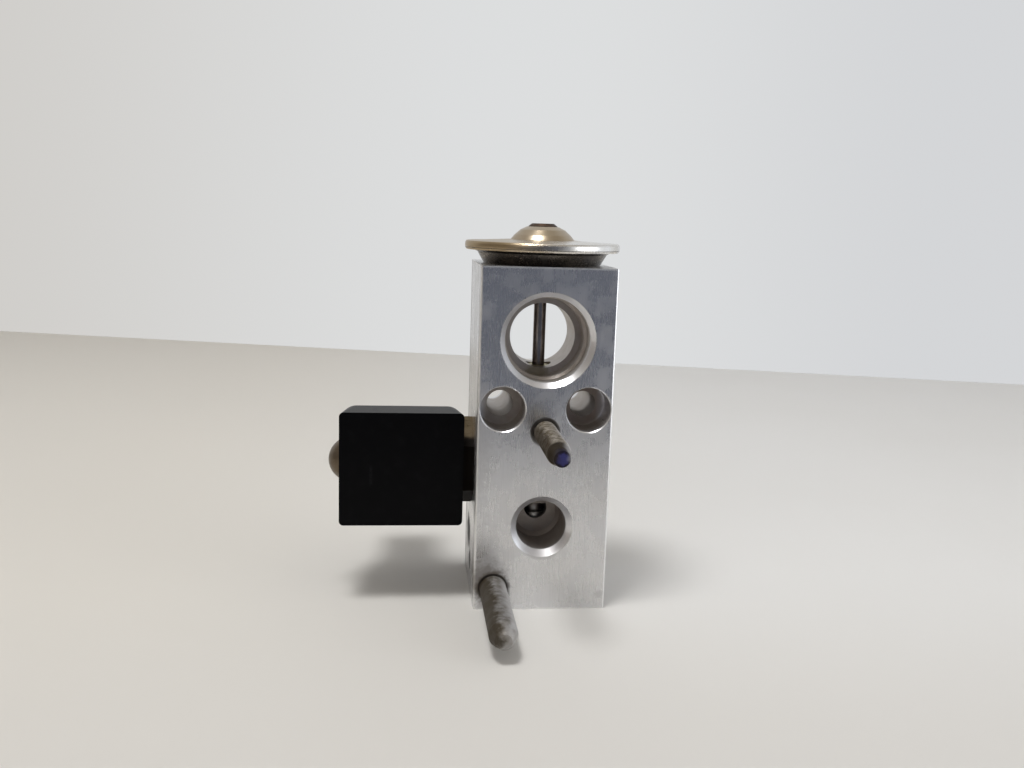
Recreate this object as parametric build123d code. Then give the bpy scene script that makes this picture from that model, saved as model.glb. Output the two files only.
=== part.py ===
from build123d import *
import math
import os

os.makedirs("parts", exist_ok=True)

# Block-type thermostatic expansion valve with a solenoid shut-off. Millimetres.
# X runs to the right, Y runs from the front face to the rear face, Z runs up from the base.
# The origin is the centre of the block's base. The valve axis is the Z axis.

# ---------------------------------------------------------------- driving dimensions
BLOCK_WIDTH = 35.0
BLOCK_DEPTH = 36.0
BLOCK_HEIGHT = 90.0
SUCTION_Z = 71.5
SUCTION_POCKET_R = 11.0
SUCTION_BORE_R = 8.65
SUCTION_POCKET_DEPTH = 11.5
SUCTION_LAND_R = 10.3
SUCTION_STEP_DEPTH = 6.0
MOUNT_HOLE_Z = 53.75
MOUNT_HOLE_X = 11.05
MOUNT_HOLE_R = 3.45
MOUNT_POCKET_R = 5.8
MOUNT_POCKET_DEPTH = 9.0
LIQUID_Z = 22.6
LIQUID_POCKET_R = 6.6
LIQUID_FLOOR_BEVEL = 1.0
JET_R = 3.1
SOLENOID_Z = 36.2
OUTLET_POCKET_R = 7.5
OUTLET_POCKET_DEPTH = 8.0
STUD_Z = 47.9
STUD_R = 3.0
STUD_LENGTH = 28.8
STUD_DOG_LENGTH = 4.6
STUD_TAPER = 0.7
PIN_INSET = 5.1
PIN_Z = 6.0
PIN_R = 3.5
PIN_LENGTH = 33.3
HEAD_RIM_R = 20.55
HEAD_SEAT_R = 15.5
HEAD_HEIGHT = 10.1
DIAPHRAGM_HEIGHT = 4.45
DOME_BASE_HEIGHT = 6.4
ROD_R = 1.65
BALL_R = 2.4
VALVE_LIFT = 0.8
PLUNGER_R = 4.42
PLUNGER_STROKE = 1.8
NUT_FLATS = 20.8
NUT_LENGTH = 2.9
COIL_LENGTH = 32.3
COIL_HEIGHT = 30.2
COIL_DEPTH = 23.6
COIL_FRONT_DEPTH = 9.8
COIL_REAR_TAPER = 3.0
COIL_REAR_DROP = 9.0
CAP_R = 5.5
CAP_HEIGHT = 3.5

# ---------------------------------------------------------------- clearances and walls
RUNNING = 0.05
SOFT_GAP = 0.3
THIN_WALL = 0.5
SHEET = 0.9
PORT_CHAMFER = 1.3
EDGE_ROUND = 0.6
ROOT_RELIEF = 0.6
STUD_SINK = 0.9
PIN_SINK = 0.45
GROOVE_LIP = 0.6

# ---------------------------------------------------------------- derived places
FRONT = -BLOCK_DEPTH / 2
REAR = BLOCK_DEPTH / 2
LEFT = -BLOCK_WIDTH / 2
TOP = BLOCK_HEIGHT

PIN_X = LEFT + PIN_INSET
STUD_ROOT_R = 0.85 * STUD_R
STUD_DOG_R = 0.68 * STUD_R
STUD_INNER_Y = FRONT + 3.5 * STUD_R
STUD_TIP_Y = FRONT - STUD_LENGTH
PIN_ROOT_R = PIN_R - 0.5
PIN_INNER_Y = FRONT + 3.3 * PIN_R
PIN_TIP_Y = FRONT - PIN_LENGTH
PIN_NOSE_LENGTH = 1.1 * PIN_R
PIN_NOSE_R = 0.67 * PIN_R
PIN_TIP_BEVEL = 0.6

CHAMBER_R = BALL_R + 1.6
ORIFICE_R = 0.83 * BALL_R
PASSAGE_R = CHAMBER_R - 1.0
LIQUID_WALL_Y = -(CHAMBER_R + THIN_WALL)
JET_Z = LIQUID_Z + 1.28
JET_END_Y = -(ORIFICE_R + THIN_WALL)
SEAT_Z = LIQUID_Z + 1.8
SEAT_THICKNESS = 1.2
BALL_CONTACT_DROP = math.sqrt(BALL_R ** 2 - ORIFICE_R ** 2)
BALL_Z = SEAT_Z - BALL_CONTACT_DROP - 0.03
PASSAGE_TOP = SOLENOID_Z + PASSAGE_R + 2.3
ROD_BORE_R = ROD_R + RUNNING
ROD_TIP_R = 0.6 * ROD_R

CARRIER_R = CHAMBER_R - 0.7
CARRIER_Z = BALL_Z - BALL_R - 1.6
CARRIER_TOP = BALL_Z - 1.0
SCREW_R = CHAMBER_R - RUNNING
SCREW_BOTTOM = 2.2
SCREW_TOP = 11.0
SCREW_TRAVEL = 0.8
SCREW_GROOVE_Z = 5.2
SCREW_GROOVE_HEIGHT = 1.8
SCREW_GROOVE_R = SCREW_R - 1.35
SCREW_SOCKET_R = 2.0
SCREW_SOCKET_DEPTH = 2.6
SPRING_WIRE_R = 0.4
SPRING_R = CARRIER_R - 0.6
SPRING_TURNS = 5

GUIDE_R = 3.4
GUIDE_TOP = SUCTION_Z - SUCTION_BORE_R
GUIDE_LENGTH = 4.8
ROD_SEAL_HEIGHT = 1.9
GUIDE_POCKET_BOTTOM = GUIDE_TOP - GUIDE_LENGTH - ROD_SEAL_HEIGHT - 2 * SOFT_GAP

SPIGOT_R = 8.0
SPIGOT_LENGTH = 6.0
SPIGOT_BORE_R = 5.5
SPIGOT_POCKET_Z = TOP - SPIGOT_LENGTH - SOFT_GAP
SENSING_BORE_R = 4.0
HEAD_SEAL_R = SPIGOT_R + 2.2
HEAD_SEAL_WIRE_R = 0.7
DIAPHRAGM_Z = TOP + DIAPHRAGM_HEIGHT
DIAPHRAGM_THICKNESS = 0.2
RIM_SHEET = SHEET - 0.05
RIM_ROUND = 0.45
CUP_RIM_Z = DIAPHRAGM_Z - RIM_SHEET
CUP_FLOOR = TOP + SHEET
PAD_R = 11.0
PAD_THICKNESS = 1.8
PAD_TOP = DIAPHRAGM_Z - 0.25
PAD_BOTTOM = PAD_TOP - PAD_THICKNESS
PAD_STEM_R = 3.3
PAD_STEM_LENGTH = 4.4
COVER_RIM_Z = DIAPHRAGM_Z + DIAPHRAGM_THICKNESS
COVER_RIM_TOP = COVER_RIM_Z + SHEET + 0.2
COVER_TOP = TOP + HEAD_HEIGHT
DOME_BASE_Z = TOP + DOME_BASE_HEIGHT
DOME_R = 8.5
DOME_SHOULDER_R = 0.5 * DOME_R
DOME_SHOULDER_Z = COVER_TOP - 0.3
PLUG_R = 2.9
PLUG_FOOT_R = PLUG_R + 0.95
PLUG_HEIGHT = 0.55
PLUG_LENGTH = 1.5
PLUG_BORE_R = 1.2

NUT_SPIGOT_R = 8.0 - RUNNING
NUT_SPIGOT_LENGTH = 7.2
NUT_LEFT = LEFT - NUT_LENGTH
NUT_SPIGOT_RIGHT = LEFT + NUT_SPIGOT_LENGTH
NUT_GROOVE_LEFT = LEFT + GROOVE_LIP
NUT_GROOVE_RIGHT = NUT_GROOVE_LEFT + 1.8
NUT_GROOVE_R = NUT_SPIGOT_R - 1.2
SOLENOID_POCKET_R = NUT_SPIGOT_R + RUNNING
SOLENOID_POCKET_X = NUT_SPIGOT_RIGHT + SOFT_GAP
SOLENOID_SEAT_X = -5.6
SOLENOID_CHAMBER_R = 5.3
SOLENOID_ORIFICE_R = 1.8

TUBE_INNER_R = PLUNGER_R + RUNNING
TUBE_OUTER_R = TUBE_INNER_R + THIN_WALL
COIL_RIGHT = NUT_LEFT
COIL_LEFT = COIL_RIGHT - COIL_LENGTH
COIL_END_WALL = 1.6
COIL_FRONT = -COIL_DEPTH / 2
COIL_REAR = COIL_DEPTH / 2
COIL_BOTTOM = SOLENOID_Z - COIL_HEIGHT / 2
COIL_TOP = SOLENOID_Z + COIL_HEIGHT / 2
COIL_HIP_Y = COIL_FRONT + COIL_FRONT_DEPTH
COIL_EDGE_ROUND = 1.2
COIL_HIP_ROUND = 4.0
CAVITY_R = COIL_DEPTH / 2 - 1.3
CAVITY_LEFT = COIL_LEFT + COIL_END_WALL
CAVITY_RIGHT = COIL_RIGHT - COIL_END_WALL
YOKE_R = CAVITY_R - 0.1
YOKE_WALL = 0.7
TUBE_LEFT = CAVITY_LEFT + 0.3
TUBE_RIGHT = SOLENOID_POCKET_X - 0.8

SEAL_FACE_X = SOLENOID_SEAT_X - SOFT_GAP
SEAL_R = 2.6
SEAL_POCKET_DEPTH = 1.2
PLUNGER_RIGHT = SEAL_FACE_X - 1.7
PLUNGER_LENGTH = 25.9
PLUNGER_LEFT = PLUNGER_RIGHT - PLUNGER_LENGTH
CORE_RIGHT = PLUNGER_LEFT - PLUNGER_STROKE - SOFT_GAP
RETURN_POCKET_R = 2.3
RETURN_POCKET_DEPTH = 7.5
RETURN_SPRING_R = 1.7
RETURN_WIRE_R = 0.25
RETURN_SPRING_RIGHT = PLUNGER_LEFT + RETURN_POCKET_DEPTH - SOFT_GAP
RETURN_SPRING_OVERLAP = 2.3
RETURN_SPRING_LEFT = CORE_RIGHT - RETURN_SPRING_OVERLAP
CORE_POCKET_DEPTH = RETURN_SPRING_OVERLAP + PLUNGER_STROKE + 2 * SOFT_GAP
CORE_STEM_R = 2.5
CORE_STEM_LEFT = COIL_LEFT - 0.5 * CAP_HEIGHT
BARREL_WALL = 1.2
FLANGE_THICKNESS = 1.0

SOCKET_X = COIL_LEFT + 0.4 * COIL_LENGTH
SOCKET_WIDTH = 16.0
SOCKET_HEIGHT = 11.0
SOCKET_WALL = 1.2
SOCKET_CORNER = 1.5
SOCKET_LENGTH = 22.0
SOCKET_DEPTH = 11.0
SOCKET_MOUTH_Y = COIL_REAR + SOCKET_LENGTH
SOCKET_FLOOR_Y = SOCKET_MOUTH_Y - SOCKET_DEPTH
LATCH_WIDTH = 5.0
LATCH_HEIGHT = 1.6
LATCH_LENGTH = 4.0
TERMINAL_PITCH = 6.8
TERMINAL_WIDTH = 2.4
TERMINAL_THICKNESS = 0.8
TERMINAL_TIP_Y = SOCKET_MOUTH_Y - 2.5


# ---------------------------------------------------------------- small helpers
def disc_z(radius, bottom, top, x=0.0, y=0.0):
    """Cylinder along Z from bottom to top."""
    solid = Cylinder(radius, top - bottom, align=(Align.CENTER, Align.CENTER, Align.MIN))
    return Pos(x, y, bottom) * solid


def disc_y(radius, front, rear, x, z):
    """Cylinder along Y from front to rear."""
    solid = Cylinder(radius, rear - front, align=(Align.CENTER, Align.CENTER, Align.MIN))
    return Pos(x, front, z) * Rot(-90, 0, 0) * solid


def disc_x(radius, left, right):
    """Cylinder on the solenoid axis from left to right."""
    solid = Cylinder(radius, right - left, align=(Align.CENTER, Align.CENTER, Align.MIN))
    return Pos(left, 0, SOLENOID_Z) * Rot(0, 90, 0) * solid


def countersink_y(radius, flare, face, inward, x, z):
    """Cone that chamfers the mouth of a bore in a face, running inward along Y."""
    cone = Cone(radius + flare, radius, flare, align=(Align.CENTER, Align.CENTER, Align.MIN))
    return Pos(x, face, z) * Rot(-90 * inward, 0, 0) * cone


def turned_z(points):
    """Solid of revolution about Z from an outline of radius and height pairs."""
    face = make_face(Polyline(*[(r, 0, z) for r, z in points], close=True))
    return revolve(face, axis=Axis.Z)


def spring_z(radius, wire_r, bottom, top, turns):
    """Helical spring whose wire ends lie on the two heights."""
    height = top - bottom - 2 * wire_r
    path = Helix(height / turns, height, radius)
    section = Plane(path @ 0, z_dir=path % 0) * Circle(wire_r)
    return Pos(0, 0, bottom + wire_r) * sweep(section, path=path)


def box_between(x0, x1, y0, y1, z0, z1):
    """Box between two corners."""
    centre = Pos((x0 + x1) / 2, (y0 + y1) / 2, (z0 + z1) / 2)
    return centre * Box(x1 - x0, y1 - y0, z1 - z0)


# ---------------------------------------------------------------- block
def suction_passage():
    """Through passage with a wider pocket at each face."""
    cut = disc_y(SUCTION_BORE_R, FRONT - 1, REAR + 1, 0, SUCTION_Z)
    for face, inward in ((FRONT, 1), (REAR, -1)):
        step = face + inward * SUCTION_STEP_DEPTH
        inner = face + inward * SUCTION_POCKET_DEPTH
        cut += disc_y(SUCTION_POCKET_R, min(face, step), max(face, step), 0, SUCTION_Z)
        cut += disc_y(SUCTION_LAND_R, min(face, inner), max(face, inner), 0, SUCTION_Z)
        cut += countersink_y(SUCTION_POCKET_R, PORT_CHAMFER, face, inward, 0, SUCTION_Z)
        cut += countersink_y(SUCTION_LAND_R, SUCTION_POCKET_R - SUCTION_LAND_R, step, inward, 0, SUCTION_Z)
    return cut


def liquid_inlet():
    """Blind inlet in the front face, with a small hole into the ball chamber."""
    floor_start = LIQUID_WALL_Y - LIQUID_FLOOR_BEVEL
    floor_r = LIQUID_POCKET_R - LIQUID_FLOOR_BEVEL
    cut = disc_y(LIQUID_POCKET_R, FRONT, floor_start, 0, LIQUID_Z)
    cut += countersink_y(floor_r, LIQUID_FLOOR_BEVEL, floor_start, 1, 0, LIQUID_Z)
    cut += countersink_y(LIQUID_POCKET_R, PORT_CHAMFER + 0.3, FRONT, 1, 0, LIQUID_Z)
    return cut + disc_y(JET_R, LIQUID_WALL_Y - 0.1, JET_END_Y, 0, JET_Z)


def outlet_port():
    """Outlet pocket in the rear face, joined to the solenoid chamber by a slanted hole."""
    pocket_floor = REAR - OUTLET_POCKET_DEPTH
    cut = disc_y(OUTLET_POCKET_R, pocket_floor, REAR, 0, SOLENOID_Z)
    cut += countersink_y(OUTLET_POCKET_R, PORT_CHAMFER, REAR, -1, 0, SOLENOID_Z)
    start = Vector(-0.6 * OUTLET_POCKET_R, pocket_floor + 0.5, SOLENOID_Z)
    end = Vector(SOLENOID_POCKET_X + 1.8, 0.6 * SOLENOID_CHAMBER_R, SOLENOID_Z)
    run = end - start
    drill = Cylinder(SOLENOID_ORIFICE_R, run.length, align=(Align.CENTER, Align.CENTER, Align.MIN))
    return cut + Plane(start, z_dir=run) * drill


def valve_bores():
    """Bores on the valve axis, from the base to the top."""
    cut = disc_z(CHAMBER_R, -1, SEAT_Z)
    cut += disc_z(ORIFICE_R, SEAT_Z - 0.1, SEAT_Z + SEAT_THICKNESS + 0.1)
    cut += disc_z(PASSAGE_R, SEAT_Z + SEAT_THICKNESS, PASSAGE_TOP)
    cut += disc_z(ROD_BORE_R, PASSAGE_TOP - 0.1, SUCTION_Z)
    cut += disc_z(GUIDE_R + RUNNING, GUIDE_POCKET_BOTTOM, SUCTION_Z)
    cut += disc_z(SENSING_BORE_R, SUCTION_Z, SPIGOT_POCKET_Z + 0.1)
    cut += disc_z(SPIGOT_R + RUNNING, SPIGOT_POCKET_Z, TOP + 1)
    return cut


def solenoid_bores():
    """Pocket for the tube nut, the shut-off chamber and its orifice."""
    cut = disc_x(SOLENOID_POCKET_R, LEFT - 1, SOLENOID_POCKET_X)
    cut += disc_x(SOLENOID_CHAMBER_R, SOLENOID_POCKET_X - 0.1, SOLENOID_SEAT_X)
    cut += disc_x(SOLENOID_ORIFICE_R, SOLENOID_SEAT_X - 0.1, 0)
    return cut


def fastener_holes():
    """Two stepped mounting holes, the stud hole and the hole of the locating pin."""
    cut = disc_y(STUD_ROOT_R, FRONT - 1, STUD_INNER_Y, 0, STUD_Z)
    cut += countersink_y(STUD_ROOT_R, STUD_R - STUD_ROOT_R + STUD_SINK, FRONT, 1, 0, STUD_Z)
    cut += disc_y(PIN_ROOT_R, FRONT - 1, PIN_INNER_Y, PIN_X, PIN_Z)
    cut += countersink_y(PIN_ROOT_R, PIN_R - PIN_ROOT_R + PIN_SINK, FRONT, 1, PIN_X, PIN_Z)
    for x in (-MOUNT_HOLE_X, MOUNT_HOLE_X):
        cut += disc_y(MOUNT_HOLE_R, FRONT - 1, REAR + 1, x, MOUNT_HOLE_Z)
        cut += disc_y(MOUNT_POCKET_R, FRONT - 1, FRONT + MOUNT_POCKET_DEPTH, x, MOUNT_HOLE_Z)
        cut += countersink_y(MOUNT_POCKET_R, 0.3, FRONT, 1, x, MOUNT_HOLE_Z)
    return cut


def head_seal_groove():
    """Ring groove in the top face for the head seal."""
    outer = disc_z(HEAD_SEAL_R + HEAD_SEAL_WIRE_R + 0.3, TOP - 2 * HEAD_SEAL_WIRE_R - 0.1, TOP + 1)
    inner = disc_z(HEAD_SEAL_R - HEAD_SEAL_WIRE_R - 0.3, TOP - 2 * HEAD_SEAL_WIRE_R - 1, TOP + 2)
    return outer - inner


def valve_body():
    """Aluminium block with all its passages."""
    block = box_between(LEFT, -LEFT, FRONT, REAR, 0, TOP)
    block = fillet(block.edges().filter_by(Axis.Z), EDGE_ROUND)
    for cut in (suction_passage(), liquid_inlet(), outlet_port(), valve_bores()):
        block -= cut
    for cut in (solenoid_bores(), fastener_holes(), head_seal_groove()):
        block -= cut
    return block


def threaded_stud():
    """Clamp stud with a dog point, screwed into the front face up to the run-out of its thread."""
    taper_end = STUD_TIP_Y + STUD_DOG_LENGTH + STUD_TAPER
    stud = disc_y(STUD_R, taper_end, FRONT - ROOT_RELIEF, 0, STUD_Z)
    stud += disc_y(STUD_ROOT_R, taper_end, STUD_INNER_Y, 0, STUD_Z)
    taper = Cone(STUD_DOG_R, STUD_R, STUD_TAPER, align=(Align.CENTER, Align.CENTER, Align.MIN))
    stud += Pos(0, STUD_TIP_Y + STUD_DOG_LENGTH, STUD_Z) * Rot(-90, 0, 0) * taper
    return stud + disc_y(STUD_DOG_R, STUD_TIP_Y, STUD_TIP_Y + STUD_DOG_LENGTH, 0, STUD_Z)


def locating_pin():
    """Plain pin with a tapered nose, pressed into the front face by a thinner root."""
    nose_end = PIN_TIP_Y + PIN_NOSE_LENGTH
    pin = disc_y(PIN_R, nose_end, FRONT - ROOT_RELIEF, PIN_X, PIN_Z)
    pin += disc_y(PIN_ROOT_R, nose_end, PIN_INNER_Y, PIN_X, PIN_Z)
    outline = [
        (0, 0),
        (PIN_NOSE_R - PIN_TIP_BEVEL, 0),
        (PIN_NOSE_R, PIN_TIP_BEVEL),
        (PIN_R, PIN_NOSE_LENGTH),
        (0, PIN_NOSE_LENGTH),
    ]
    return pin + Pos(PIN_X, PIN_TIP_Y, PIN_Z) * Rot(-90, 0, 0) * turned_z(outline)


# ---------------------------------------------------------------- power head
def head_lower_cup():
    """Stamped lower cup with the spigot that screws into the block."""
    flank_bottom = (HEAD_SEAT_R + 0.35, TOP + 0.5)
    flank_top = (HEAD_RIM_R - 3.3, TOP + 2.9)
    ledge = (HEAD_RIM_R - 1.9, CUP_RIM_Z)
    outline = [
        (SPIGOT_BORE_R, TOP - SPIGOT_LENGTH),
        (SPIGOT_R, TOP - SPIGOT_LENGTH),
        (SPIGOT_R, TOP),
        (HEAD_SEAT_R, TOP),
        flank_bottom,
        flank_top,
        ledge,
        (HEAD_RIM_R - RIM_ROUND, CUP_RIM_Z),
        (HEAD_RIM_R, CUP_RIM_Z + RIM_ROUND),
        (HEAD_RIM_R, DIAPHRAGM_Z),
        (ledge[0] - SHEET, DIAPHRAGM_Z),
        (flank_top[0] - SHEET, flank_top[1] + 0.3 * SHEET),
        (flank_bottom[0] - SHEET, CUP_FLOOR),
        (SPIGOT_BORE_R, CUP_FLOOR),
    ]
    return turned_z(outline)


def head_upper_cover():
    """Stamped upper cover, nearly flat near the rim and domed in the middle."""
    low_bend = (DOME_R - 1.0, DOME_BASE_Z + 1.2)
    high_bend = (DOME_R - 2.5, DOME_BASE_Z + 2.55)
    outer = [
        (HEAD_RIM_R - 2.6, COVER_RIM_Z),
        (HEAD_RIM_R, COVER_RIM_Z),
        (HEAD_RIM_R, COVER_RIM_TOP - RIM_ROUND),
        (HEAD_RIM_R - 0.4 * RIM_ROUND, COVER_RIM_TOP - 0.4 * RIM_ROUND),
        (HEAD_RIM_R - RIM_ROUND, COVER_RIM_TOP),
        (DOME_R, DOME_BASE_Z),
        low_bend,
        high_bend,
        (DOME_SHOULDER_R, DOME_SHOULDER_Z),
        (PLUG_BORE_R, COVER_TOP),
    ]
    inner = [
        (PLUG_BORE_R, COVER_TOP - SHEET),
        (DOME_SHOULDER_R - 0.3 * SHEET, DOME_SHOULDER_Z - SHEET),
        (high_bend[0] - 0.7 * SHEET, high_bend[1] - SHEET),
        (low_bend[0] - SHEET, low_bend[1] - SHEET),
        (DOME_R - 0.8 * SHEET, DOME_BASE_Z - SHEET),
        (HEAD_RIM_R - 3.0, COVER_RIM_Z + 0.25),
    ]
    return turned_z(outer + inner)


def diaphragm():
    """Thin corrugated disc clamped between the cup and the cover."""
    sheet = disc_z(HEAD_RIM_R - RUNNING, DIAPHRAGM_Z, DIAPHRAGM_Z + DIAPHRAGM_THICKNESS)
    for radius in (0.63 * HEAD_RIM_R, 0.73 * HEAD_RIM_R):
        ridge = Torus(radius, DIAPHRAGM_THICKNESS)
        sheet += Pos(0, 0, DIAPHRAGM_Z + DIAPHRAGM_THICKNESS) * ridge
    return sheet


def charge_plug():
    """Brazed plug that closes the charge hole of the cover, with its foot lying on the dome."""
    slope = (COVER_TOP - DOME_SHOULDER_Z) / (DOME_SHOULDER_R - PLUG_BORE_R)
    foot_z = COVER_TOP - slope * (PLUG_FOOT_R - PLUG_BORE_R)
    stem_r = PLUG_BORE_R - RUNNING
    outline = [
        (0, COVER_TOP + PLUG_HEIGHT),
        (PLUG_R, COVER_TOP + PLUG_HEIGHT),
        (PLUG_FOOT_R, foot_z + 0.1),
        (PLUG_FOOT_R, foot_z),
        (stem_r, COVER_TOP + slope * RUNNING),
        (stem_r, COVER_TOP - PLUG_LENGTH),
        (0, COVER_TOP - PLUG_LENGTH),
    ]
    return turned_z(outline)


def head_seal():
    """Seal ring between the head and the block."""
    return Pos(0, 0, TOP - HEAD_SEAL_WIRE_R - 0.05) * Torus(HEAD_SEAL_R, HEAD_SEAL_WIRE_R)


def thrust_pad():
    """Pad that carries the push of the diaphragm to the rod."""
    pad = disc_z(PAD_R, PAD_BOTTOM, PAD_TOP)
    pad += disc_z(PAD_STEM_R, PAD_BOTTOM - PAD_STEM_LENGTH, PAD_BOTTOM + 0.1)
    return pad - disc_z(ROD_BORE_R, PAD_BOTTOM - PAD_STEM_LENGTH - 1, PAD_BOTTOM)


# ---------------------------------------------------------------- valve train
def push_rod():
    """Rod from the thrust pad through the suction passage to the ball."""
    ball_top = BALL_Z + BALL_R
    rod = disc_z(ROD_R, PASSAGE_TOP - 1.5, PAD_BOTTOM)
    return rod + disc_z(ROD_TIP_R, ball_top, PASSAGE_TOP - 1.4)


def rod_guide():
    """Brass guide ring in the floor of the suction passage."""
    bottom = GUIDE_TOP - GUIDE_LENGTH
    return disc_z(GUIDE_R, bottom, GUIDE_TOP) - disc_z(ROD_BORE_R, bottom - 1, GUIDE_TOP + 1)


def rod_seal():
    """Seal ring under the guide."""
    bottom = GUIDE_POCKET_BOTTOM + SOFT_GAP
    ring = disc_z(GUIDE_R - 0.1, bottom, bottom + ROD_SEAL_HEIGHT)
    return ring - disc_z(ROD_R + SOFT_GAP, bottom - 1, bottom + ROD_SEAL_HEIGHT + 1)


def valve_ball():
    """Ball that meters the liquid."""
    return Pos(0, 0, BALL_Z) * Sphere(BALL_R)


def ball_carrier():
    """Cup that holds the ball on the spring."""
    cup = disc_z(CARRIER_R, CARRIER_Z, CARRIER_TOP)
    return cup - Pos(0, 0, BALL_Z) * Sphere(BALL_R + 0.02)


def valve_spring():
    """Superheat spring between the adjusting screw and the carrier."""
    return spring_z(SPRING_R, SPRING_WIRE_R, SCREW_TOP, CARRIER_Z, SPRING_TURNS)


def adjusting_screw():
    """Adjusting screw in the base, with a hexagon socket and a seal groove."""
    screw = disc_z(SCREW_R, SCREW_BOTTOM, SCREW_TOP)
    groove_top = SCREW_GROOVE_Z + SCREW_GROOVE_HEIGHT
    groove = disc_z(SCREW_R + 1, SCREW_GROOVE_Z, groove_top)
    screw -= groove - disc_z(SCREW_GROOVE_R, SCREW_GROOVE_Z - 1, groove_top + 1)
    socket = extrude(RegularPolygon(SCREW_SOCKET_R, 6), SCREW_SOCKET_DEPTH)
    return screw - Pos(0, 0, SCREW_BOTTOM) * socket


def adjuster_seal():
    """Seal ring in the groove of the adjusting screw."""
    bottom = SCREW_GROOVE_Z + SOFT_GAP
    top = SCREW_GROOVE_Z + SCREW_GROOVE_HEIGHT - SOFT_GAP
    inner_r = SCREW_GROOVE_R + SOFT_GAP
    return disc_z(CHAMBER_R - SOFT_GAP, bottom, top) - disc_z(inner_r, bottom - 1, top + 1)


# ---------------------------------------------------------------- solenoid
def tube_nut():
    """Hexagon nut that screws the armature tube into the block."""
    hexagon = RegularPolygon(NUT_FLATS / 2, 6, major_radius=False, rotation=0)
    nut = Pos(NUT_LEFT, 0, SOLENOID_Z) * Rot(0, 90, 0) * extrude(hexagon, NUT_LENGTH)
    nut += disc_x(NUT_SPIGOT_R, LEFT - 0.1, NUT_SPIGOT_RIGHT)
    nut -= disc_x(TUBE_OUTER_R + 0.03, NUT_LEFT - 1, NUT_SPIGOT_RIGHT + 1)
    groove = disc_x(NUT_SPIGOT_R + 1, NUT_GROOVE_LEFT, NUT_GROOVE_RIGHT)
    return nut - (groove - disc_x(NUT_GROOVE_R, NUT_GROOVE_LEFT - 1, NUT_GROOVE_RIGHT + 1))


def nut_seal():
    """Seal ring in the groove of the tube nut."""
    left = NUT_GROOVE_LEFT + 2 * RUNNING
    right = NUT_GROOVE_RIGHT - 2 * RUNNING
    return disc_x(NUT_SPIGOT_R - 2 * RUNNING, left, right) - disc_x(NUT_GROOVE_R + RUNNING, left - 1, right + 1)


def armature_tube():
    """Thin tube in which the plunger runs."""
    tube = disc_x(TUBE_OUTER_R, TUBE_LEFT, TUBE_RIGHT)
    return tube - disc_x(TUBE_INNER_R, TUBE_LEFT - 1, TUBE_RIGHT + 1)


def fixed_core():
    """Fixed core with a threaded stem for the retaining cap."""
    core = disc_x(TUBE_INNER_R - 0.02, TUBE_LEFT, CORE_RIGHT)
    core += disc_x(CORE_STEM_R, CORE_STEM_LEFT, TUBE_LEFT + 0.1)
    return core - disc_x(RETURN_POCKET_R, CORE_RIGHT - CORE_POCKET_DEPTH, CORE_RIGHT + 1)


def plunger():
    """Sliding plunger with pockets for its spring and its seal."""
    body = disc_x(PLUNGER_R, PLUNGER_LEFT, PLUNGER_RIGHT)
    body -= disc_x(RETURN_POCKET_R, PLUNGER_LEFT - 1, PLUNGER_LEFT + RETURN_POCKET_DEPTH)
    return body - disc_x(SEAL_R, PLUNGER_RIGHT - SEAL_POCKET_DEPTH, PLUNGER_RIGHT + 1)


def plunger_seal():
    """Soft disc that closes the shut-off orifice."""
    return disc_x(SEAL_R, PLUNGER_RIGHT - SEAL_POCKET_DEPTH, SEAL_FACE_X)


def plunger_spring():
    """Return spring, carried in the plunger and free to move into the core."""
    length = RETURN_SPRING_RIGHT - RETURN_SPRING_LEFT
    coil = spring_z(RETURN_SPRING_R, RETURN_WIRE_R, 0, length, 6)
    return Pos(RETURN_SPRING_LEFT, 0, SOLENOID_Z) * Rot(0, 90, 0) * coil


def coil_section(y, length, height, corner):
    """Rounded rectangle across the coil at one depth."""
    middle_x = (COIL_LEFT + COIL_RIGHT) / 2
    plane = Plane((middle_x, y, SOLENOID_Z), x_dir=(1, 0, 0), z_dir=(0, 1, 0))
    return plane * RectangleRounded(length, height, corner)


def coil_block():
    """Outer form of the coil: nearly square in front, with rounder corners and a taper to the rear."""
    rear_length = COIL_LENGTH - COIL_REAR_TAPER
    rear_height = COIL_HEIGHT - COIL_REAR_DROP
    front = coil_section(COIL_FRONT, COIL_LENGTH, COIL_HEIGHT, COIL_EDGE_ROUND)
    hip = coil_section(COIL_HIP_Y, COIL_LENGTH, COIL_HEIGHT, COIL_HIP_ROUND)
    rear = coil_section(COIL_REAR, rear_length, rear_height, COIL_HIP_ROUND)
    return loft([front, hip], ruled=True) + loft([hip, rear], ruled=True)


def terminal_blade(x):
    """Flat contact blade that stands in the connector socket."""
    half = TERMINAL_WIDTH / 2
    low = SOLENOID_Z - half
    high = SOLENOID_Z + half
    thick = TERMINAL_THICKNESS / 2
    return box_between(x - thick, x + thick, CAVITY_R + SOFT_GAP, TERMINAL_TIP_Y, low, high)


def connector_socket():
    """Plain socket on the rear of the coil, with a latch ramp on its top."""
    left = SOCKET_X - SOCKET_WIDTH / 2
    right = SOCKET_X + SOCKET_WIDTH / 2
    low = SOLENOID_Z - SOCKET_HEIGHT / 2
    high = SOLENOID_Z + SOCKET_HEIGHT / 2
    wall = SOCKET_WALL
    outer = box_between(left, right, COIL_REAR - 0.5, SOCKET_MOUTH_Y, low, high)
    outer = fillet(outer.edges().filter_by(Axis.Y), SOCKET_CORNER)
    inner = box_between(left + wall, right - wall, SOCKET_FLOOR_Y, SOCKET_MOUTH_Y + 1, low + wall, high - wall)
    return outer - inner + latch_ramp(high)


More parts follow.
